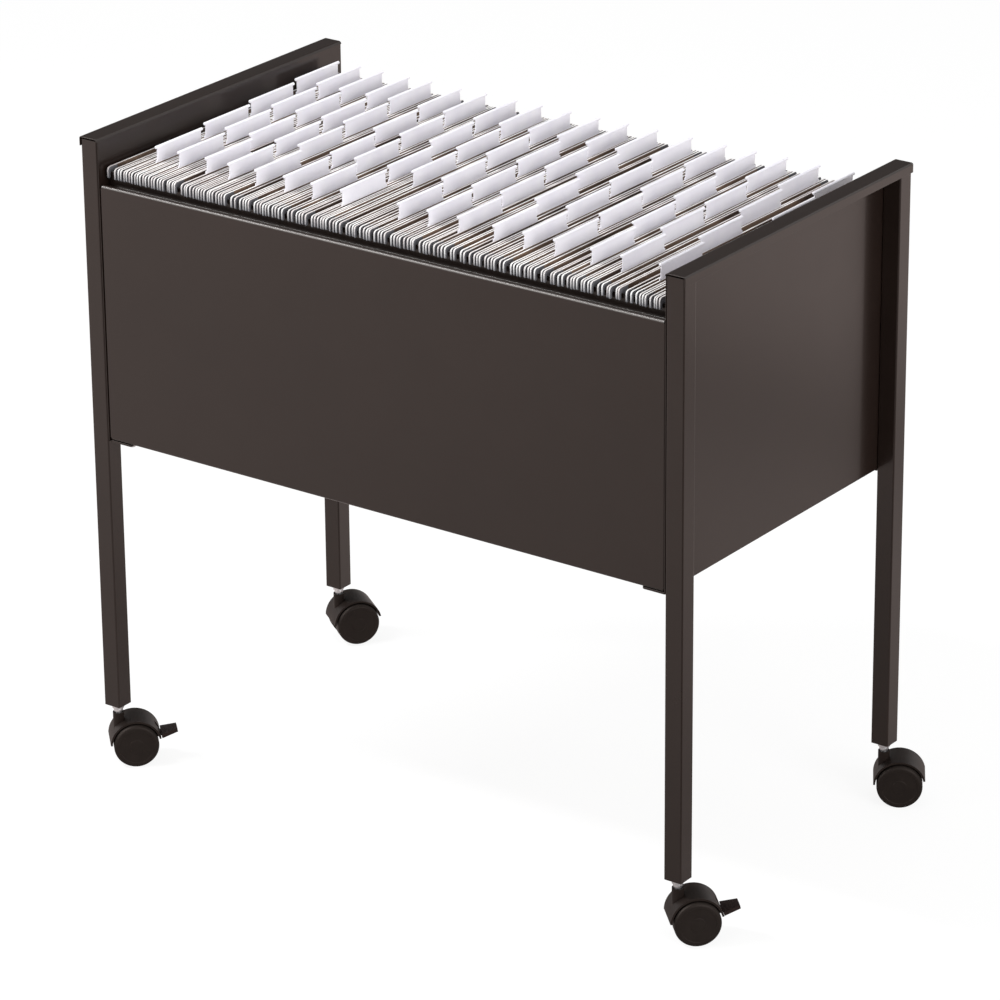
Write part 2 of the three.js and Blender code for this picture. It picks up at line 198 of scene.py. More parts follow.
def grown(name, tree, sizes, points=None):
    """The plain mesh that a tree makes from its named sizes."""
    maker = new_object(name, points or bpy.data.meshes.new(name))
    modifier = maker.modifiers.new(name, "NODES")
    modifier.node_group = tree
    for item in tree.interface.items_tree:
        if item.in_out == "INPUT" and item.name in sizes:
            modifier[item.identifier] = sizes[item.name]
    return plain_mesh(maker)


def shaped(name, mesh, *steps):
    """A mesh after some modifiers, each given as its kind and its settings."""
    maker = new_object(name, mesh)
    for kind, settings in steps:
        modifier = maker.modifiers.new(kind, kind)
        for key, value in settings.items():
            setattr(modifier, key, value)
    return plain_mesh(maker)


def faced_out(mesh):
    """Closes a mesh's seams and turns its faces outwards."""
    work = bmesh.new()
    work.from_mesh(mesh)
    bmesh.ops.remove_doubles(work, verts=work.verts, dist=weld_distance)
    bmesh.ops.recalc_face_normals(work, faces=work.faces)
    work.to_mesh(mesh)
    work.free()
    return mesh


def finished(name, mesh, body, nodes=(), finish=None, crease=35):
    """A finished piece with true flats and smooth bends, on its body and in place of its solids."""
    if finish:
        mesh.materials.clear()
        mesh.materials.append(finish)
    mesh.shade_smooth()
    mesh.set_sharp_from_angle(angle=math.radians(crease))
    mesh = shaped(name, mesh, ("WEIGHTED_NORMAL", {"keep_sharp": True, "weight": 100}))
    piece = new_object(name, mesh)
    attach(piece, body)
    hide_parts(*nodes)
    return piece


def square_tube(finish):
    """A tree for a length of square tube, standing on its foot."""
    sizes = {"Width": "Float", "Wall": "Float", "Corner": "Float", "Height": "Float", "Foot": "Vector"}
    tree, size = sized_tree("square tube", sizes)
    walls = []
    for inset in (0, size["Wall"]):
        width = size["Width"] - 2 * inset
        square = width.node("GeometryNodeCurvePrimitiveQuadrilateral", {"Width": width, "Height": width})
        corner = {"Curve": square, "Count": corner_steps, "Radius": size["Corner"] - inset}
        walls.append(square.node("GeometryNodeFilletCurve", corner, mode="POLY"))
    section = width.node("GeometryNodeJoinGeometry", {"Geometry": walls})
    foot = section.node("GeometryNodeFillCurve", {"Curve": section}, mode="TRIANGLES")
    rise = foot.node("ShaderNodeCombineXYZ", {"Z": size["Height"]})
    raised = {"Mesh": foot, "Offset": rise, "Offset Scale": 1.0, "Individual": False}
    tube = foot.node("GeometryNodeExtrudeMesh", raised, mode="FACES")
    underside = foot.node("GeometryNodeFlipFaces", {"Mesh": foot})
    whole = foot.node("GeometryNodeJoinGeometry", {"Geometry": [tube, underside]})
    standing = foot.node("GeometryNodeTransform", {"Geometry": whole, "Translation": size["Foot"]})
    end_tree(standing, finish)
    return tree


paint = powder_coat()
tube_tree = square_tube(paint)
for corner in corners:
    low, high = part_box("leg_" + corner)
    middle = (low + high) / 2
    sizes = {"Width": high.x - low.x, "Wall": leg_wall, "Corner": leg_corner}
    sizes["Height"] = high.z - low.z - leg_top_gap
    sizes["Foot"] = (middle.x, middle.y, low.z)
    leg = faced_out(grown("leg", tube_tree, sizes))
    finished("tube_leg_" + corner, leg, "cart_frame", ["leg_" + corner])


# End panels: one sheet of steel each, folded over the leg ends as a rail and turned down outside them.
# The fold beside the files is the softer one. The wall below stands against the inner faces of the legs.

sheet = 1 * mm
rail_lip = 10 * mm
rail_bend = 2.6 * mm
lip_bend = 1.6 * mm
wall_inset = 0.3 * mm
sheet_edge = 0.35 * mm
eased_from = 60
bend_steps = 6


def rounded(points, radii, steps=bend_steps):
    """A path through some corner points, with an arc of its own radius at each corner."""
    path = []
    for index, radius in enumerate(radii):
        corner = Vector(points[index])
        if radius == 0:
            path.append(corner)
            continue
        before = (Vector(points[index - 1]) - corner).normalized()
        after = (Vector(points[(index + 1) % len(points)]) - corner).normalized()
        half = before.angle(after) / 2
        centre = corner + (before + after).normalized() * radius / math.sin(half)
        start = corner + before * radius / math.tan(half) - centre
        turn = (math.pi - 2 * half) * (1 if before.cross(after) < 0 else -1)
        for step in range(steps + 1):
            path.append(centre + Matrix.Rotation(turn * step / steps, 2) @ start)
    return path


def eased(width, steps=2, angle=50):
    """A bevel that eases the sharp edges of a piece."""
    settings = {"width": width, "segments": steps, "limit_method": "ANGLE"}
    settings["angle_limit"] = math.radians(angle)
    return ("BEVEL", settings)


def folded(name, rows):
    """A folded sheet from rows of points, with None where the sheet is cut away."""
    work = bmesh.new()
    grid = [[point and work.verts.new(point) for point in row] for row in rows]
    for upper, lower in zip(grid, grid[1:]):
        for quad in zip(upper, upper[1:], lower[1:], lower):
            if all(quad):
                work.faces.new(quad)
    bmesh.ops.recalc_face_normals(work, faces=work.faces)
    mesh = bpy.data.meshes.new(name)
    work.to_mesh(mesh)
    work.free()
    thick = ("SOLIDIFY", {"thickness": sheet, "offset": 0.0, "use_even_offset": True})
    return shaped(name, mesh, thick, eased(sheet_edge, 2, eased_from))


leg_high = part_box("leg_back_right")[1]
for hand, side in (("left", -1), ("right", 1)):
    low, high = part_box("end_panel_" + hand)
    wall_x = min(abs(low.x), abs(high.x)) + sheet / 2
    lip_x = max(abs(low.x), abs(high.x)) - sheet / 2
    top = high.z - sheet / 2
    bends = [(wall_x, low.z), (wall_x, top), (lip_x, top), (lip_x, high.z - rail_lip)]
    profile = rounded(bends, [0, rail_bend, lip_bend, 0])
    wall_half = leg_high.y - wall_inset
    rows = []
    for index, (x, z) in enumerate(profile):
        rail = index > 0
        places = [-high.y if rail else None, -wall_half, wall_half, high.y if rail else None]
        rows.append([y and Vector((side * x, y, z)) for y in places])
    panel = folded("end panel", rows)
    finished("end_sheet_" + hand, panel, "cart_frame", ["end_panel_" + hand], paint)


# Front and back panels: one folded sheet each, with end flanges that are screwed to the legs, a flange
# at the foot, and along the top a rolled edge and a sunk shelf that turns up into the files' lip.

flange = 18 * mm
shelf = 14 * mm
lip_rise = 11 * mm
panel_bend = 2.4 * mm
end_bend = 1.2 * mm
lip_fold = 0.9 * mm
rolled_edge = 4 * mm
shelf_drop = 3.5 * mm

for name, face in (("front", -1), ("back", 1)):
    low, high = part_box(name + "_panel")
    outside = max(abs(low.y), abs(high.y))
    skin = sheet / 2
    foot = low.z + skin
    top = high.z - lip_rise - skin
    fold = [(flange, foot), (skin, foot), (skin, top), (rolled_edge, top), (rolled_edge, top - shelf_drop)]
    fold += [(shelf - skin, top - shelf_drop), (shelf - skin, high.z)]
    profile = rounded(fold, [0, panel_bend, panel_bend, lip_fold, lip_fold, lip_fold, 0])
    end = high.x - skin
    plan = [(-end, flange), (-end, skin), (end, skin), (end, flange)]
    width = rounded(plan, [0, end_bend, end_bend, 0])
    rows = []
    for depth, z in profile:
        on_face = abs(depth - skin) < weld_distance
        row = []
        for x, back in width:
            on_front = abs(back - skin) < weld_distance
            inward = depth if on_front else back
            keep = on_face or on_front
            row.append(Vector((x, face * (outside - inward), z)) if keep else None)
        rows.append(row)
    panel = folded(name + " panel", rows)
    finished(name + "_sheet", panel, "cart_frame", [name + "_panel"], paint)


# Corner brackets: short steel plates welded to the legs under the panels' lower corners, painted with
# the frame. A plated pan-head screw goes up through each one into a nut welded on the panel's flange.

bracket_round = 3 * mm
bracket_edge = 0.5 * mm
screw_radius = 2.5 * mm
head_radius = 4.6 * mm
head_height = 2.8 * mm
head_sides = 20
head_rings = 12
thread_sides = 12
recess_long = 5.2 * mm
recess_wide = 1.1 * mm
recess_deep = 1.2 * mm
cutter = 20 * mm


def solid_mesh(name, points, faces):
    """A closed mesh from its points and faces."""
    mesh = bpy.data.meshes.new(name)
    mesh.from_pydata([Vector(point) for point in points], [], faces)
    return faced_out(mesh)


def prism(name, outline, low, high, axis):
    """A closed outline carried along an axis between two places."""
    place = {"x": lambda u, v, t: (t, u, v), "y": lambda u, v, t: (u, t, v), "z": lambda u, v, t: (u, v, t)}
    count = len(outline)
    points = [place[axis](u, v, t) for t in (low, high) for u, v in outline]
    sides = [(i, (i + 1) % count, count + (i + 1) % count, count + i) for i in range(count)]
    ends = [tuple(range(count)), tuple(range(count, 2 * count))]
    return solid_mesh(name, points, sides + ends)


def zinc_plate():
    """Bright zinc plating with a fine drawn grain and patches of duller metal."""
    made, shader, place = new_finish("bright zinc", Metallic=1.0)
    patches = place.noise(180, 3.0)
    grain = place.noise(2400, 1.0)
    colour = patches.between(shade(188, 190, 194), shade(226, 227, 228))
    place.feed(shader.inputs["Base Color"], colour)
    place.feed(shader.inputs["Roughness"], 0.22 + 0.18 * patches)
    place.feed(shader.inputs["Normal"], place.bump(grain, 0.01 * mm, 0.4))
    return made


def pan_head_screw(finish):
    """A tree for a pan-head screw with a cross recess, its head's seat at the origin and pointing up."""
    sizes = {"Head": "Float", "Thread": "Float", "Length": "Float", "Seat": "Vector", "Turn": "Vector"}
    tree, size = sized_tree("pan-head screw", sizes)
    seat = size["Seat"]
    round_head = {"Segments": head_sides, "Rings": head_rings, "Radius": size["Head"]}
    ball = seat.node("GeometryNodeMeshUVSphere", round_head)
    flat = seat.node("ShaderNodeCombineXYZ", {"X": 1.0, "Y": 1.0, "Z": head_height / head_radius})
    dome = ball.node("GeometryNodeTransform", {"Geometry": ball, "Scale": flat})
    above = ball.node("GeometryNodeMeshCube", {"Size": (cutter, cutter, cutter)})
    lifted = above.node("GeometryNodeTransform", {"Geometry": above, "Translation": (0, 0, cutter / 2)})
    cuts = [lifted]
    for long, wide in ((recess_long, recess_wide), (recess_wide, recess_long)):
        bar = ball.node("GeometryNodeMeshCube", {"Size": (long, wide, 2 * recess_deep)})
        cuts.append(bar.node("GeometryNodeTransform", {"Geometry": bar, "Translation": (0, 0, -head_height)}))
    head = ball.node("GeometryNodeMeshBoolean", {"Mesh 1": dome, "Mesh 2": cuts}, operation="DIFFERENCE")
    shank = {"Vertices": thread_sides, "Radius": size["Thread"], "Depth": size["Length"]}
    thread = ball.node("GeometryNodeMeshCylinder", shank)
    half = size["Length"] * 0.5
    up = half.node("ShaderNodeCombineXYZ", {"Z": half})
    raised = thread.node("GeometryNodeTransform", {"Geometry": thread, "Translation": up})
    whole = ball.node("GeometryNodeJoinGeometry", {"Geometry": [head, raised]})
    seated = {"Geometry": whole, "Rotation": size["Turn"], "Translation": seat}
    end_tree(whole.node("GeometryNodeTransform", seated), finish)
    return tree


zinc = zinc_plate()
screw_tree = pan_head_screw(zinc)
for corner in corners:
    low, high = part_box("corner_bracket_" + corner)
    plan = [(low.x, low.y), (high.x, low.y), (high.x, high.y), (low.x, high.y)]
    plate = prism("bracket", rounded(plan, [bracket_round] * 4), low.z, high.z, "z")
    plate = shaped("bracket", plate, eased(bracket_edge))
    finished("bracket_plate_" + corner, plate, "cart_frame", ["corner_bracket_" + corner], paint)

    for kind, axis in (("bracket_screw_", 2), ("panel_screw_", 0)):
        low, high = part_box(kind + corner)
        middle = (low + high) / 2
        away = -1 if axis == 0 and middle.x < 0 else 1
        seat = middle.copy()
        seat[axis] = low[axis] + head_height if away > 0 else high[axis] - head_height
        head = (high.y - low.y) / 2
        sizes = {"Head": head, "Thread": screw_radius, "Length": high[axis] - low[axis] - head_height}
        sizes["Seat"] = seat
        sizes["Turn"] = (0, away * math.pi / 2 if axis == 0 else 0, 0)
        screw = faced_out(grown("screw", screw_tree, sizes))
        finished("pan_head_" + kind + corner, screw, "cart_frame", [kind + corner])


# Castor fixings: a black plastic plug with a threaded bush closes the foot of each leg and takes the
# castor's stem, a zinc-plated turned pin with a hex nut and a collar that bears on the castor's boss.

nut_sides = 6
nut_flats = 11 * mm
nut_height = 5 * mm
nut_gap = 0.2 * mm
collar_radius = 4.9 * mm
collar_height = 3 * mm
thread_radius = 4 * mm
pivot_radius = 4 * mm
nut_edge = 0.7 * mm
round_steps = 32


def turned(name, profile, axis, centre=(0, 0, 0), steps=round_steps):
    """A profile of radius and height turned about an axis through a centre."""
    points = []
    rings = []
    for radius, along in profile:
        ring = []
        count = steps if radius > 0 else 1
        for step in range(count):
            angle = 2 * math.pi * step / steps
            u, v = radius * math.cos(angle), radius * math.sin(angle)
            local = (u, v, along) if axis == "z" else (u, along, v)
            ring.append(len(points))
            points.append(Vector(local) + Vector(centre))
        rings.append(ring)
    faces = []
    for first, second in zip(rings, rings[1:]):
        for step in range(steps):
            quad = [first[step % len(first)], first[(step + 1) % len(first)]]
            quad += [second[(step + 1) % len(second)], second[step % len(second)]]
            faces.append(tuple(dict.fromkeys(quad)))
    return solid_mesh(name, points, faces)


def moulded(name, first, joins=(), cuts=(), edge=0.0, steps=2):
    """Solids joined into one piece, with shapes cut out of it and its edges eased."""
    makers = []
    stages = []
    for mesh, operation in [(j, "UNION") for j in joins] + [(c, "DIFFERENCE") for c in cuts]:
        maker = new_object(name + " tool", mesh)
        makers.append(maker)
        stages.append(("BOOLEAN", {"operation": operation, "object": maker, "solver": "EXACT"}))
    if edge:
        stages.append(eased(edge, steps))
    mesh = shaped(name, first, *stages)
    for maker in makers:
        bpy.data.objects.remove(maker)
    return mesh


def castor_place(corner):
    """Where a castor stands: under its leg, turned to the way it has swivelled."""
    stem = joints["swivel_" + corner]["pos_m"]
    axle = joints["roll_a_" + corner]["axis"]
    turn = Matrix.Rotation(math.atan2(-axle[0], axle[1]), 4, "Z")
    return Matrix.Translation((stem[0], stem[1], 0)) @ turn


def black_plastic(name, dark, light, gloss):
    """Moulded black plastic with a fine spark-eroded grain, a little scuffed."""
    made, shader, place = new_finish(name, Specular_IOR_Level=0.13, Specular_Tint=(1.0, 0.84, 0.78, 1.0))
    scuffs = place.noise(90, 4.0)
    grain = place.noise(1500, 2.0)
    place.feed(shader.inputs["Base Color"], scuffs.between(shade(*dark), shade(*light)))
    place.feed(shader.inputs["Roughness"], gloss + 0.12 * scuffs)
    place.feed(shader.inputs["Normal"], place.bump(grain, 0.02 * mm, 0.5))
    return made


joints = {joint["name"]: joint for joint in frame["record"]["behaviour"]["joints"]}
hood_plastic = black_plastic("black hood plastic", (26, 21, 19), (36, 29, 26), 0.40)
for corner in corners:
    insert = frame["nodes"]["leg_insert_" + corner]
    insert.data.materials.clear()
    insert.data.materials.append(hood_plastic)

    low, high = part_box("castor_stem_" + corner)
    nut_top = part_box("leg_" + corner)[0].z - nut_gap
    nut_foot = nut_top - nut_height
    collar_foot = nut_foot - collar_height
    pin = [(0, low.z), (pivot_radius, low.z), (pivot_radius, collar_foot), (collar_radius, collar_foot)]
    pin += [(collar_radius, nut_foot - nut_edge), (collar_radius - nut_edge, nut_foot + nut_edge)]
    pin += [(thread_radius, nut_foot + nut_edge), (thread_radius, high.z), (0, high.z)]
    hexagon = []
    for side in range(nut_sides):
        angle = math.radians(360 / nut_sides * side)
        across = nut_flats / 2 / math.cos(math.radians(180 / nut_sides))
        hexagon.append((across * math.cos(angle), across * math.sin(angle)))
    nut = prism("nut", hexagon, nut_foot, nut_top, "z")
    stem = moulded("stem", nut, [turned("pin", pin, "z")], edge=nut_edge)
    stem.transform(castor_place(corner))
    finished("stem_and_nut_" + corner, stem, "cart_frame", ["castor_stem_" + corner], zinc)


# Castor hoods: the black plastic body of each castor, a half-round shell over both wheels with a web
# between them, a bored boss for the stem and a round bearing for the axle. The front two are slotted for
# the brake.

hood_outer = 27 * mm
hood_wall = 2 * mm
hood_half = 18.3 * mm
lead_tip_rise = 1 * mm
trail_tip_rise = 6 * mm
web_half = 6 * mm
boss_radius = 6 * mm
bore_play = 0.3 * mm
axle_boss = 7 * mm
hood_edge = 0.6 * mm
slot_half = 3.8 * mm
slot_reach = 6 * mm
slot_up = 14 * mm
pivot_inset = 9 * mm
hood_steps = 40


def hood_arc(trail, height, radius):
    """Points over a castor's wheels, from the hood's trailing tip to its leading one."""
    start = math.asin(trail_tip_rise / hood_outer)
    end = math.pi - math.asin(lead_tip_rise / hood_outer)
    angles = [start + (end - start) * step / hood_steps for step in range(hood_steps + 1)]
    return [(trail + radius * math.cos(angle), height + radius * math.sin(angle)) for angle in angles]


for corner in corners:
    axle = joints["roll_a_" + corner]["pos_m"]
    stem = joints["swivel_" + corner]["pos_m"]
    trail = math.hypot(axle[0] - stem[0], axle[1] - stem[1])
    height = axle[2]
    outer, middle, inner = (hood_arc(trail, height, hood_outer - hood_wall * part) for part in (0, 0.5, 1))
    shell = prism("shell", outer + inner[::-1], -hood_half, hood_half, "y")
    web = prism("web", middle, -web_half, web_half, "y")
    boss_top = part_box("castor_hood_" + corner)[1].z
    boss = turned("boss", [(0, height), (boss_radius, height), (boss_radius, boss_top), (0, boss_top)], "z")
    bearing_profile = [(0, -web_half), (axle_boss, -web_half), (axle_boss, web_half), (0, web_half)]
    bearing = turned("bearing", bearing_profile, "y", (trail, 0, height))
    bore_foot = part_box("castor_stem_" + corner)[0].z - bore_play
    bore_top = boss_top + hood_wall
    bore_radius = pivot_radius + bore_play
    bore = [(0, bore_foot), (bore_radius, bore_foot), (bore_radius, bore_top), (0, bore_top)]
    cuts = [turned("bore", bore, "z")]
    if "brake_" + corner in joints:
        pivot_x = trail + hood_outer - pivot_inset
        pivot_z = joints["brake_" + corner]["pos_m"][2]
        plan = [(pivot_x - slot_reach, pivot_z - slot_reach), (pivot_x + hood_outer, pivot_z - slot_reach)]
        plan += [(pivot_x + hood_outer, pivot_z + slot_up), (pivot_x - slot_reach, pivot_z + slot_up)]
        cuts.append(prism("slot", plan, -slot_half, slot_half, "y"))
    hood = moulded("hood", shell, [web, boss, bearing], cuts, hood_edge)
    hood.transform(castor_place(corner))
    body = "castor_" + corner
    finished("hood_" + corner, hood, body, ["castor_hood_" + corner], hood_plastic)
    for node in ("castor_axle_" + corner, "brake_pin_" + corner):
        if node in frame["nodes"]:
            frame["nodes"][node].data.materials.clear()
            frame["nodes"][node].data.materials.append(zinc)


# Castor wheels: two black plastic wheels on each castor, with a rounded tread, a shallow dish in the
# outer face and a plain cap over the axle. Each turns by itself on the axle.

wheel_radius = 24 * mm
wheel_inner = 6.6 * mm
wheel_outer = 22.1 * mm
wheel_bore = 3.1 * mm
bore_end = 18.1 * mm
tread_round = 3.6 * mm
inner_round = 1.5 * mm
dish_outer = 18.5 * mm
dish_inner = 7.5 * mm
dish_depth = 0.35 * mm
dish_round = 0.4 * mm
cap_crown = 0.3 * mm
wheel_steps = 64

wheel_plastic = black_plastic("black wheel plastic", (25, 21, 19), (33, 28, 25), 0.42)
for corner in corners:
    axle = joints["roll_a_" + corner]["pos_m"]
    stem = joints["swivel_" + corner]["pos_m"]
    trail = math.hypot(axle[0] - stem[0], axle[1] - stem[1])
    to_floor = axle[2] / wheel_radius
    for letter, way in (("a", -1), ("b", 1)):
        dish = wheel_outer - dish_depth
        points = [(0, bore_end), (wheel_bore, bore_end), (wheel_bore, wheel_inner)]
        points += [(wheel_radius, wheel_inner), (wheel_radius, wheel_outer)]
        points += [(dish_outer, wheel_outer), (dish_outer - dish_depth, dish)]
        points += [(dish_inner + dish_depth, dish), (dish_inner, wheel_outer), (0, wheel_outer + cap_crown)]
        rounds = [0, 0, 0, inner_round, tread_round] + [dish_round] * 4 + [0]
        profile = [(radius * to_floor, way * out) for radius, out in rounded(points, rounds)]
        wheel = turned("wheel", profile, "y", (trail, 0, axle[2]), wheel_steps)
        wheel.transform(castor_place(corner))
        name = "wheel_" + letter + "_" + corner
        finished("castor_" + name, wheel, name, ["castor_" + name], wheel_plastic)


# Brake levers: dark reddish-black plastic pedals on the two front castors. Each turns on a pin in the
# hood's web, comes out through the slot and is pressed down with the toe to block the wheels.

lever_barrel = 3.6 * mm
lever_half = 3.5 * mm
lever_pin = 1.8 * mm
arm_half = 2.5 * mm
pedal_start = 9.5 * mm
pedal_end = 27 * mm
pedal_root_half = 12.2 * mm
pedal_tip_half = 7.4 * mm
pedal_half = 2 * mm
pedal_lap = 1 * mm
pedal_edge = 0.5 * mm
rib_half = 0.6 * mm
rib_reach = 6 * mm
rib_rise = 0.5 * mm
rib_places = (14 * mm, 18 * mm, 22 * mm)
lever_tilt = 14

lever_plastic = black_plastic("reddish black plastic", (26, 18, 17), (36, 26, 24), 0.40)
for corner in corners[:2]:
    pivot = joints["brake_" + corner]["pos_m"]
    stem = joints["swivel_" + corner]["pos_m"]
    reach = math.hypot(pivot[0] - stem[0], pivot[1] - stem[1])
    plan = [(pedal_start, -pedal_root_half), (pedal_end, -pedal_tip_half)]
    plan += [(pedal_end, pedal_tip_half), (pedal_start, pedal_root_half)]
    pedal = prism("pedal", plan, -pedal_half, pedal_half, "z")
    arm_end = pedal_start + pedal_lap
    arm_plan = [(0, -lever_half), (arm_end, -lever_half), (arm_end, lever_half), (0, lever_half)]
    arm = prism("arm", arm_plan, -arm_half, arm_half, "z")
    round_end = [(0, -lever_half), (lever_barrel, -lever_half), (lever_barrel, lever_half), (0, lever_half)]
    barrel = turned("barrel", round_end, "y")
    ribs = []
    for place in rib_places:
        near, far = place - rib_half, place + rib_half
        across = [(near, -rib_reach), (far, -rib_reach), (far, rib_reach), (near, rib_reach)]
        ribs.append(prism("rib", across, 0, pedal_half + rib_rise, "z"))
    through = 2 * lever_half
    hole = turned("hole", [(0, -through), (lever_pin, -through), (lever_pin, through), (0, through)], "y")
    lever = moulded("lever", pedal, [arm, barrel] + ribs, [hole], pedal_edge)
    lever.transform(Matrix.Rotation(-math.radians(lever_tilt), 4, "Y"))
    lever.transform(Matrix.Translation((reach, 0, pivot[2])))
    lever.transform(castor_place(corner))
    name = "brake_lever_" + corner
    finished("pedal_" + corner, lever, name, [name], lever_plastic)


# Hanging files: seventy-six card folders in twelve blocks. Each hangs on two flat bars with a hook at
# each end, over the lips of the front and back panels, and all but one carry a white tab on one bar.
# They stand in columns of four, with the tabs in steps from back to front and one folder open wider.

block_count = 12
files_per_block = 8
tab_steps = 4
tab_columns = 19
column_spacing = 4.53
column_spread = 0.03
bare_column, bare_step = 8, 3
bare_mark = -1
seed_step = 100
tab_rise = 17.5 * mm
tab_gap = 11 * mm
tab_back_inset = 12.5 * mm
tab_front_inset = 38.5 * mm
bar_height = 12 * mm
bar_half = 0.85 * mm
bar_edge = 0.3 * mm
bars_apart = 3.3 * mm
apart_change = 0.7 * mm
file_shift = 0.6 * mm
bar_slip = 0.5 * mm
first_opening = 6.4 * mm
next_openings = (5.2 * mm, 3.8 * mm, 4.8 * mm, 2.8 * mm)
spare_room = 6.9 * mm
open_steps = (0, 3, 3, 1, 3, 2, 3)
hook_depth = 6 * mm
hook_slack = 1 * mm
hook_rounds = [3.2 * mm, 1.6 * mm, 1.2 * mm, 0.8 * mm, 0.8 * mm, 0.6 * mm]
hook_steps = 2
folder_height = 238 * mm
folder_top_drop = 1.2 * mm
folder_half = 175 * mm
folder_round = 1.5 * mm
card_thickness = 0.45 * mm
bead_radius = 1.6 * mm
bead_sides = 8
bead_edge = 0.5 * mm
plate_half = 0.45 * mm
plate_inset = 2.4 * mm
tab_foot_inset = 0.6 * mm
tab_foot_rise = 2.5 * mm
tab_lean = math.radians(2.5)
streak_scale = 300
streak_stretch = 0.03
streak_contrast = 4.0
streak_offset = 1.5


def first_file(column):
    """Where along the row a column of four files starts, in places for a file."""
    start = round(column_spacing * column + column_spread * column * (column - 1))
    return min(start, block_count * files_per_block)


def hung(name, finish, side_finish, kind):
    """A tree that hangs bars, folders or tabs on a row of files, each file a little out of line."""
    tree, size = sized_tree(name, {"Shape": "Object", "Seed": "Int", "Apart": "Float", "Tab pitch": "Float"})
    files = size["Geometry"]

    def chance(reach, salt):
        """A random amount either way for each file. The salt keeps one draw apart from another."""
        sockets = {2: -reach, 3: reach, 8: size["Seed"] + salt}
        return files.node("FunctionNodeRandomValue", sockets, out=1, data_type="FLOAT")

    def told(label):
        """A number that the point of each file carries."""
        return files.node("GeometryNodeInputNamedAttribute", {"Name": label}, data_type="FLOAT")

    step = told("tab step")
    apart = size["Apart"] + told("opening") + chance(apart_change, 1)
    model = files.node("GeometryNodeObjectInfo", {"Object": size["Shape"]}, out="Geometry")
    rows = []
    for side in {"bars": (-1, 1), "folders": (0,), "tabs": (1,)}[kind]:
        along = chance(file_shift, 2) + 0.5 * side * apart
        across = -1.0 * step * size["Tab pitch"] if kind == "tabs" else chance(bar_slip, 4 + side)
        shift = files.node("ShaderNodeCombineXYZ", {"X": along, "Y": across, "Z": chance(bar_slip, 7 + side)})
        row = files.node("GeometryNodeSetPosition", {"Geometry": files, "Offset": shift})
        sockets = {"Points": row, "Instance": model}
        if kind == "tabs":
            sockets["Rotation"] = files.node("ShaderNodeCombineXYZ", {"Y": chance(tab_lean, 9)})
            sockets["Selection"] = step.math("GREATER_THAN", step, bare_mark / 2)
        if kind == "folders":
            width = apart.math("DIVIDE", apart, size["Apart"])
            sockets["Scale"] = files.node("ShaderNodeCombineXYZ", {"X": width, "Y": 1.0, "Z": 1.0})
        rows.append(row.node("GeometryNodeInstanceOnPoints", sockets))
    end_tree(files.node("GeometryNodeJoinGeometry", {"Geometry": rows}), finish, side_finish)
    return tree


def streaks(place):
    """Tones that run along the bars and change from bar to bar."""
    stretch = {0: place, 1: (1.0, streak_stretch, streak_stretch)}
    drawn_out = place.node("ShaderNodeVectorMath", stretch, operation="MULTIPLY")
    return streak_contrast * drawn_out.noise(streak_scale, 2.0) - streak_offset


def bar_finish():
    """The upper edges and hooks of the bars, with the white of the folded card over them, fading to grey
    towards the foot of each bar as painted shade.
    """
    made, shader, place = new_finish("white bar edge")
    tone = streaks(place)
    edge = tone.between(shade(222, 214, 212), shade(255, 254, 252))
    # Painted shade: the colour darkens from the white top edge to grey at the foot of the bar.
    down = (bar_top - place.node("ShaderNodeSeparateXYZ", {0: place}, out="Z")) * (1 / bar_height)
    place.feed(shader.inputs["Base Color"], down.between(edge, shade(112, 113, 120)))
    place.feed(shader.inputs["Roughness"], 0.45 + 0.1 * tone)
    return made


def shaded_bar_side_finish():
    """The flat sides of the bars, darker than the card and the edges as painted shade between the bars: brown
    card that is wrapped round them, and bare grey metal at the hooks, darkened as painted shade.
    """
    made, shader, place = new_finish("brown bar side", Roughness=0.8)
    # Painted shade: a darker brown than the folder card, for the dark gaps between the bars.
    wrapped = streaks(place).between(shade(66, 50, 40), shade(140, 116, 98))
    y = place.node("ShaderNodeSeparateXYZ", {0: place}, out="Y")
    bare = y.math("GREATER_THAN", y * y, folder_half * folder_half)
    # Bare metal at the hooks, painted a darker grey as painted shade.
    place.feed(shader.inputs["Base Color"], bare.between(wrapped, shade(104, 103, 107)))
    return made


def card_finish():
    """Brown folder card with long paper fibres."""
    made, shader, place = new_finish("brown card", Roughness=0.85)
    fibres = place.noise(420, 5.0)
    sheet_tone = place.noise(30, 2.0)
    colour = sheet_tone.between(shade(126, 104, 88), shade(156, 132, 113))
    place.feed(shader.inputs["Base Color"], colour)
    place.feed(shader.inputs["Normal"], place.bump(fibres, 0.05 * mm, 0.4))
    return made


def tab_finish():
    """White label tabs: satin plastic with a faint violet cast."""
    made, shader, place = new_finish("white tab plastic")
    cloud = place.noise(60, 2.0)
    colour = cloud.between(shade(238, 236, 246), shade(250, 249, 253))
    place.feed(shader.inputs["Base Color"], colour)
    place.feed(shader.inputs["Roughness"], 0.32 + 0.15 * cloud)
    return made


low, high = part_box("files_01")
lip_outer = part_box("back_panel")[1].y - shelf + sheet
bar_top = high.z - tab_rise
to_bar_top = Matrix.Translation((0, 0, -bar_top))
bar_foot = bar_top - bar_height
bar_end = high.y
notch_outer = lip_outer + hook_slack
notch_inner = lip_outer - sheet - hook_slack
ceiling = bar_foot + hook_depth
hook = [(bar_end, bar_top), (bar_end, bar_foot), (notch_outer, bar_foot), (notch_outer, ceiling)]
hook += [(notch_inner, ceiling), (notch_inner, bar_foot)]
other_hook = [(-y, z) for y, z in reversed(hook)]
outline = rounded(hook + other_hook, hook_rounds + hook_rounds[::-1], hook_steps)
bar = shaped("bar", prism("bar", outline, -bar_half, bar_half, "x"), eased(bar_edge, 1, eased_from))
bar.transform(to_bar_top)

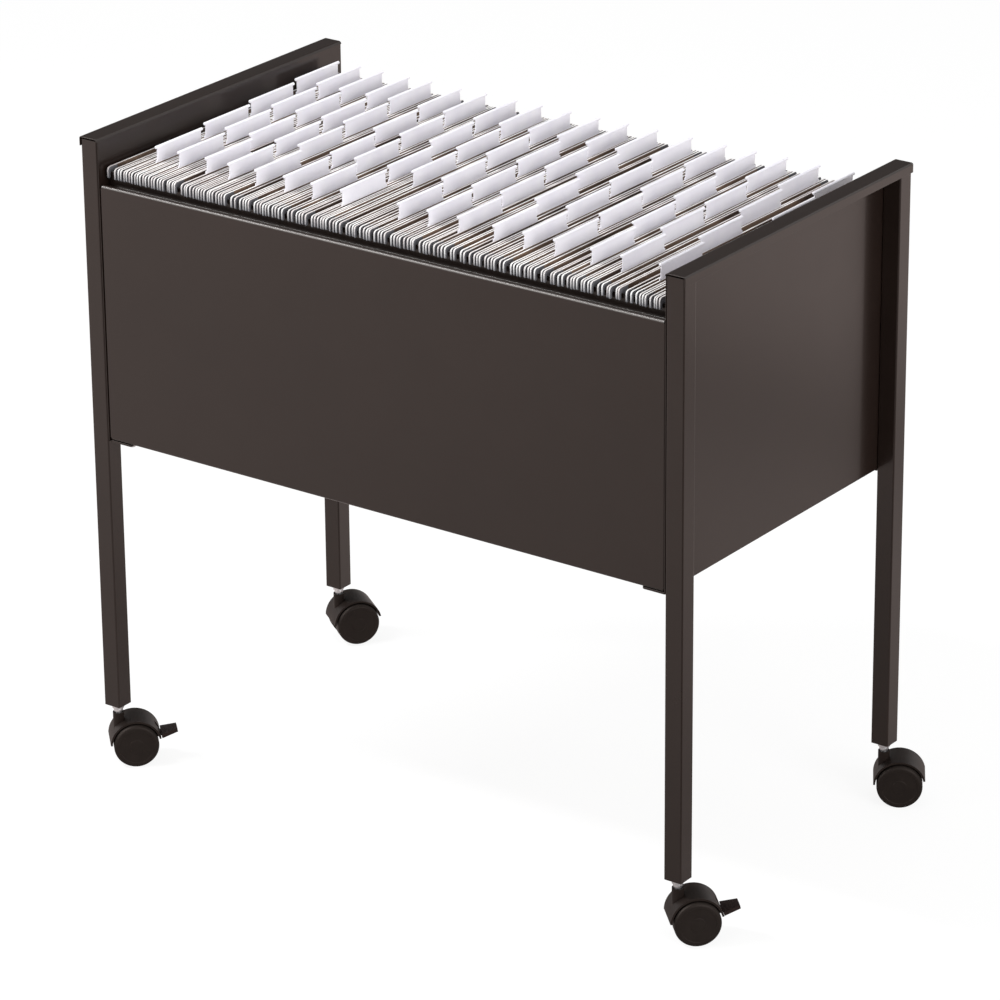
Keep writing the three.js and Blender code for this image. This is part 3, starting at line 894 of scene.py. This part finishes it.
leaf_top = bar_top - folder_top_drop
leaf_foot = bar_top - folder_height
leaf_x = bars_apart / 2
leaves = [(-leaf_x, leaf_top), (-leaf_x, leaf_foot), (leaf_x, leaf_foot), (leaf_x, leaf_top)]
leaves = rounded(leaves, [0, folder_round, folder_round, 0], hook_steps)
work = bmesh.new()
grid = [[work.verts.new((x, y, z)) for y in (-folder_half, folder_half)] for x, z in leaves]
for upper, lower in zip(grid, grid[1:]):
    work.faces.new((*upper, *reversed(lower)))
folder = bpy.data.meshes.new("folder")
work.to_mesh(folder)
work.free()
folder = shaped("folder", folder, ("SOLIDIFY", {"thickness": card_thickness, "offset": 0.0}))
folder.transform(to_bar_top)

tab_row = 2 * bar_end - tab_front_inset - tab_back_inset
tab_length = (tab_row - (tab_steps - 1) * tab_gap) / tab_steps
tab_back = bar_end - tab_back_inset
tab_front = tab_back - tab_length
bead_z = high.z - bead_radius
circle = []
for side in range(bead_sides):
    angle = 2 * math.pi * (side + 0.5) / bead_sides
    circle.append((bead_radius * math.cos(angle), bead_z + bead_radius * math.sin(angle)))
bead = shaped("bead", prism("bead", circle, tab_front, tab_back, "y"), eased(bead_edge, 1, eased_from))
plate_foot = bar_top + tab_foot_rise
ends = [(tab_foot_inset, bar_foot), (tab_foot_inset, plate_foot)]
ends += [(plate_inset, plate_foot), (plate_inset, bead_z)]
label = []
for inset, z in ends:
    label.insert(0, (tab_front + inset, z))
    label.append((tab_back - inset, z))
tab = moulded("tab", bead, [prism("plate", label, -plate_half, plate_half, "x")])
tab.transform(to_bar_top)

# The bars' faces towards X take the darker side finish, which is painted shade.
kinds = [("bars", bar, bar_finish(), shaded_bar_side_finish())]
kinds.append(("folders", folder, card_finish(), None))
kinds.append(("tabs", tab, tab_finish(), None))
hanging = []
for name, mesh, finish, side_finish in kinds:
    model = new_object(name + " model", mesh)
    hanging.append((name, model, hung("hung " + name, finish, side_finish, name)))

files_in = [[] for block in range(block_count)]
for column in range(tab_columns):
    start = first_file(column)
    spare = first_file(column + 1) - start - tab_steps
    openings = [0.0] * tab_steps
    for turn in range(spare):
        step = open_steps[column % len(open_steps)] + turn
        opening = next_openings[(column + turn) % len(next_openings)] if column else first_opening
        openings[step % tab_steps] += opening
        openings[(step + 2) % tab_steps] += spare_room - opening
    shift = 0.0
    for step, opening in enumerate(openings):
        block, file = divmod(start + step, files_per_block)
        low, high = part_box("files_%02d" % (block + 1))
        x = low.x + (file + 0.5) * (high.x - low.x) / files_per_block + shift + opening / 2
        bare = column == bare_column and step == bare_step
        files_in[block].append((Vector((x, 0, bar_top)), bare_mark if bare else step, opening))
        shift += opening
for block in range(block_count):
    body = "files_%02d" % (block + 1)
    places, steps, openings = zip(*files_in[block])
    sizes = {"Seed": seed_step * block, "Apart": bars_apart, "Tab pitch": tab_length + tab_gap}
    for name, model, tree in hanging:
        row = bpy.data.meshes.new("row")
        row.from_pydata(places, [], [])
        row.attributes.new("tab step", "FLOAT", "POINT").data.foreach_set("value", steps)
        row.attributes.new("opening", "FLOAT", "POINT").data.foreach_set("value", openings)
        mesh = grown(name, tree, {"Shape": model, **sizes}, row)
        finished("%s_%02d" % (name, block + 1), mesh, body, [body])
for name, model, tree in hanging:
    bpy.data.objects.remove(model)


# Studio: a pale floor that keeps the cart's shadow, and a white surround. A strip lamp draws the bright
# line along the front panel's edge. Glowing sheets seen only in gloss are painted reflections: dim ones
# shade the rails, and a bright one paints a highlight on the fold. The floor's gloss is painted uneven and
# warm: a painted shadow dims it by the cart, and it is dimmer to its right and in a band behind it.

floor_half = 6.0
floor_grey = (0.86, 0.86, 0.86, 1)
floor_white = 1.08
floor_share = 0.82
# The floor's warm tint and uneven brightness in gloss are painted reflections, with a painted shadow of the
# cart.
painted_reflection_tint = (0.98, 0.82, 0.77, 1)
gloss_level = 0.68
gloss_least, gloss_most = 0.4, 1.2
gloss_fall = 0.3
right_fall = 0.14
rise_behind = 0.85
band_y = 1.07
band_sharpness = 4.5
band_depth = 0.7
near_x, near_y = 0.2, -0.05
near_half_x, near_half_y = 0.55, 0.33
near_depth = 0.3
surround_light = 0.42
plain_white = (1, 1, 1, 1)
azimuth = math.radians(36.08)
elevation = math.radians(22.517)
roll = math.radians(-0.501)
aim = Vector((5.85 * mm, 0, 316.06 * mm))
distance = 5081 * mm
lens = 180
sensor = 36
far_clip = 50
lit_centre = Vector((0, 0, 0.55))
lamps = [
    ("overhead", (-0.3, -0.2, 2.4), 2.2, 2.2, 12.5),
    ("strip", (-1.74, -1.4, 3.05), 1.5, 0.3, 70),
    ("right", (4.42, -1.36, 1.825), 2.7, 2.7, 142),
    ("front", (-1.6, -2.6, 1.2), 1.6, 1.6, 8),
]
# Glowing sheets seen only in gloss: two dim ones paint dark reflections, and a bright one paints the
# highlight on the front panel's fold.
dark_reflection_behind = [(-2.98, 1.2, 0.55), (-0.22, 3.2, 0.55), (-0.22, 3.2, 3.4), (-2.98, 1.2, 3.4)]
dark_reflection_below = [(0.42, -0.35, 0.002), (1.6, -2.6, 0.002), (2.6, -0.9, 0.002), (0.75, -0.1, 0.002)]
highlight_card = [(-2.25, -1.94, 0.93), (-0.57, -2.86, 1.52), (-0.57, -2.1, 2.69), (-2.25, -1.18, 2.1)]
cards = [
    ("flag behind", 0.12, dark_reflection_behind),
    ("flag on the floor", 0.12, dark_reflection_below),
    ("white card", 9.0, highlight_card),
]


def seen_white(wire, share):
    """How much of the plain white shows: to the camera, in reflections and through glass."""
    outputs = wire.node("ShaderNodeLightPath", {}).socket.node.outputs
    rays = ("Is Camera Ray", "Is Glossy Ray", "Is Transmission Ray")
    to_camera, in_gloss, through = (Wire(wire.tree, outputs[ray]) for ray in rays)
    seen = to_camera.math("MAXIMUM", to_camera, in_gloss)
    return share * seen.math("MAXIMUM", seen, through)


def painted_floor_gloss(wire):
    """How bright the floor shows in gloss, a painted reflection: a painted shadow dims it by the cart, and it
    is dimmer to its right and in a band behind it.
    """
    place = wire.node("ShaderNodeTexCoord", {}, out="Object")
    x, y = (wire.node("ShaderNodeSeparateXYZ", {0: place}, out=way) for way in "XY")
    off_band = band_sharpness * (y - band_y)
    band = off_band.math("DIVIDE", band_depth, 1.0 + off_band * off_band)
    beside = (x - near_x) * (1 / near_half_x)
    ahead = (y - near_y) * (1 / near_half_y)
    off_cart = beside * beside + ahead * ahead
    # Painted shadow of the cart in the floor's reflections.
    painted_cart_shadow = off_cart.math("DIVIDE", near_depth, 1.0 + off_cart * off_cart)
    fall = gloss_fall * x + right_fall * x.math("MAXIMUM", x, 0.0)
    rise = rise_behind * y.math("MAXIMUM", y, 0.0)
    uneven = gloss_level - fall + rise - band - painted_cart_shadow
    return uneven.math("MAXIMUM", uneven.math("MINIMUM", uneven, gloss_most), gloss_least)


def stage_sheet(name, points):
    """A flat sheet of the studio and a wire in its empty material."""
    mesh = bpy.data.meshes.new(name)
    mesh.from_pydata(points, [], [(0, 1, 2, 3)])
    made = bpy.data.materials.new(name)
    made.use_nodes = True
    made.node_tree.nodes.clear()
    mesh.materials.append(made)
    piece = new_object(name, mesh)
    return piece, Wire(made.node_tree)


def turned_to(back, across):
    """The turn of a lamp or camera that looks against one way, with another way to its right."""
    right = (across - back * across.dot(back)).normalized()
    return Matrix((right, back.cross(right), back)).transposed().to_4x4()


ground = [(x * floor_half, y * floor_half, 0) for x, y in ((-1, -1), (1, -1), (1, 1), (-1, 1))]
wire = stage_sheet("floor", ground)[1]
matt = wire.node("ShaderNodeBsdfDiffuse", {"Color": floor_grey})
direct = wire.node("ShaderNodeLightPath", {}, out="Is Camera Ray")
# In gloss the floor glows at a painted, uneven strength with a warm painted tint; to the camera it is plain
# white.
painted_gloss_strength = painted_floor_gloss(wire)
strength = painted_gloss_strength + direct * (floor_white - painted_gloss_strength)
tint = direct.between(painted_reflection_tint, plain_white)
glow = wire.node("ShaderNodeEmission", {"Color": tint, "Strength": strength})
both = wire.node("ShaderNodeMixShader", {0: seen_white(wire, floor_share), 1: matt, 2: glow})
wire.node("ShaderNodeOutputMaterial", {"Surface": both})

# Each sheet glows but is seen only in reflections: these are painted reflections, not lamps.
for name, brightness, points in cards:
    card, wire = stage_sheet(name, points)
    glow = wire.node("ShaderNodeEmission", {"Color": plain_white, "Strength": brightness})
    wire.node("ShaderNodeOutputMaterial", {"Surface": glow})
    card.visible_camera = False
    card.visible_diffuse = False
    card.visible_transmission = False
    card.visible_shadow = False

world = bpy.data.worlds.new("studio")
bpy.context.scene.world = world
world.use_nodes = True
world.node_tree.nodes.clear()
wire = Wire(world.node_tree)
dim = wire.node("ShaderNodeBackground", {"Color": plain_white, "Strength": surround_light})
white = wire.node("ShaderNodeBackground", {"Color": plain_white, "Strength": 1.0})
both = wire.node("ShaderNodeMixShader", {0: seen_white(wire, 1.0), 1: dim, 2: white})
wire.node("ShaderNodeOutputWorld", {"Surface": both})

for name, place, length, width, power in lamps:
    light = bpy.data.lights.new(name, "AREA")
    light.shape = "RECTANGLE"
    light.size = length
    light.size_y = width
    light.energy = power
    lamp = bpy.data.objects.new(name, light)
    away = (Vector(place) - lit_centre).normalized()
    lamp.matrix_world = Matrix.Translation(place) @ turned_to(away, Vector((1, 0, 0)))
    bpy.context.scene.collection.objects.link(lamp)

level = Vector((math.cos(azimuth), math.sin(azimuth), 0))
back = Matrix.Rotation(elevation, 3, -level) @ Vector((math.sin(azimuth), -math.cos(azimuth), 0))
rolled = Matrix.Rotation(roll, 3, back) @ level
view = bpy.data.cameras.new("camera")
view.lens = lens
view.sensor_width = sensor
view.clip_end = far_clip
camera = bpy.data.objects.new("camera", view)
camera.matrix_world = Matrix.Translation(aim + back * distance) @ turned_to(back, rolled)
bpy.context.scene.collection.objects.link(camera)
bpy.context.scene.camera = camera
bpy.context.scene.view_settings.view_transform = "Standard"
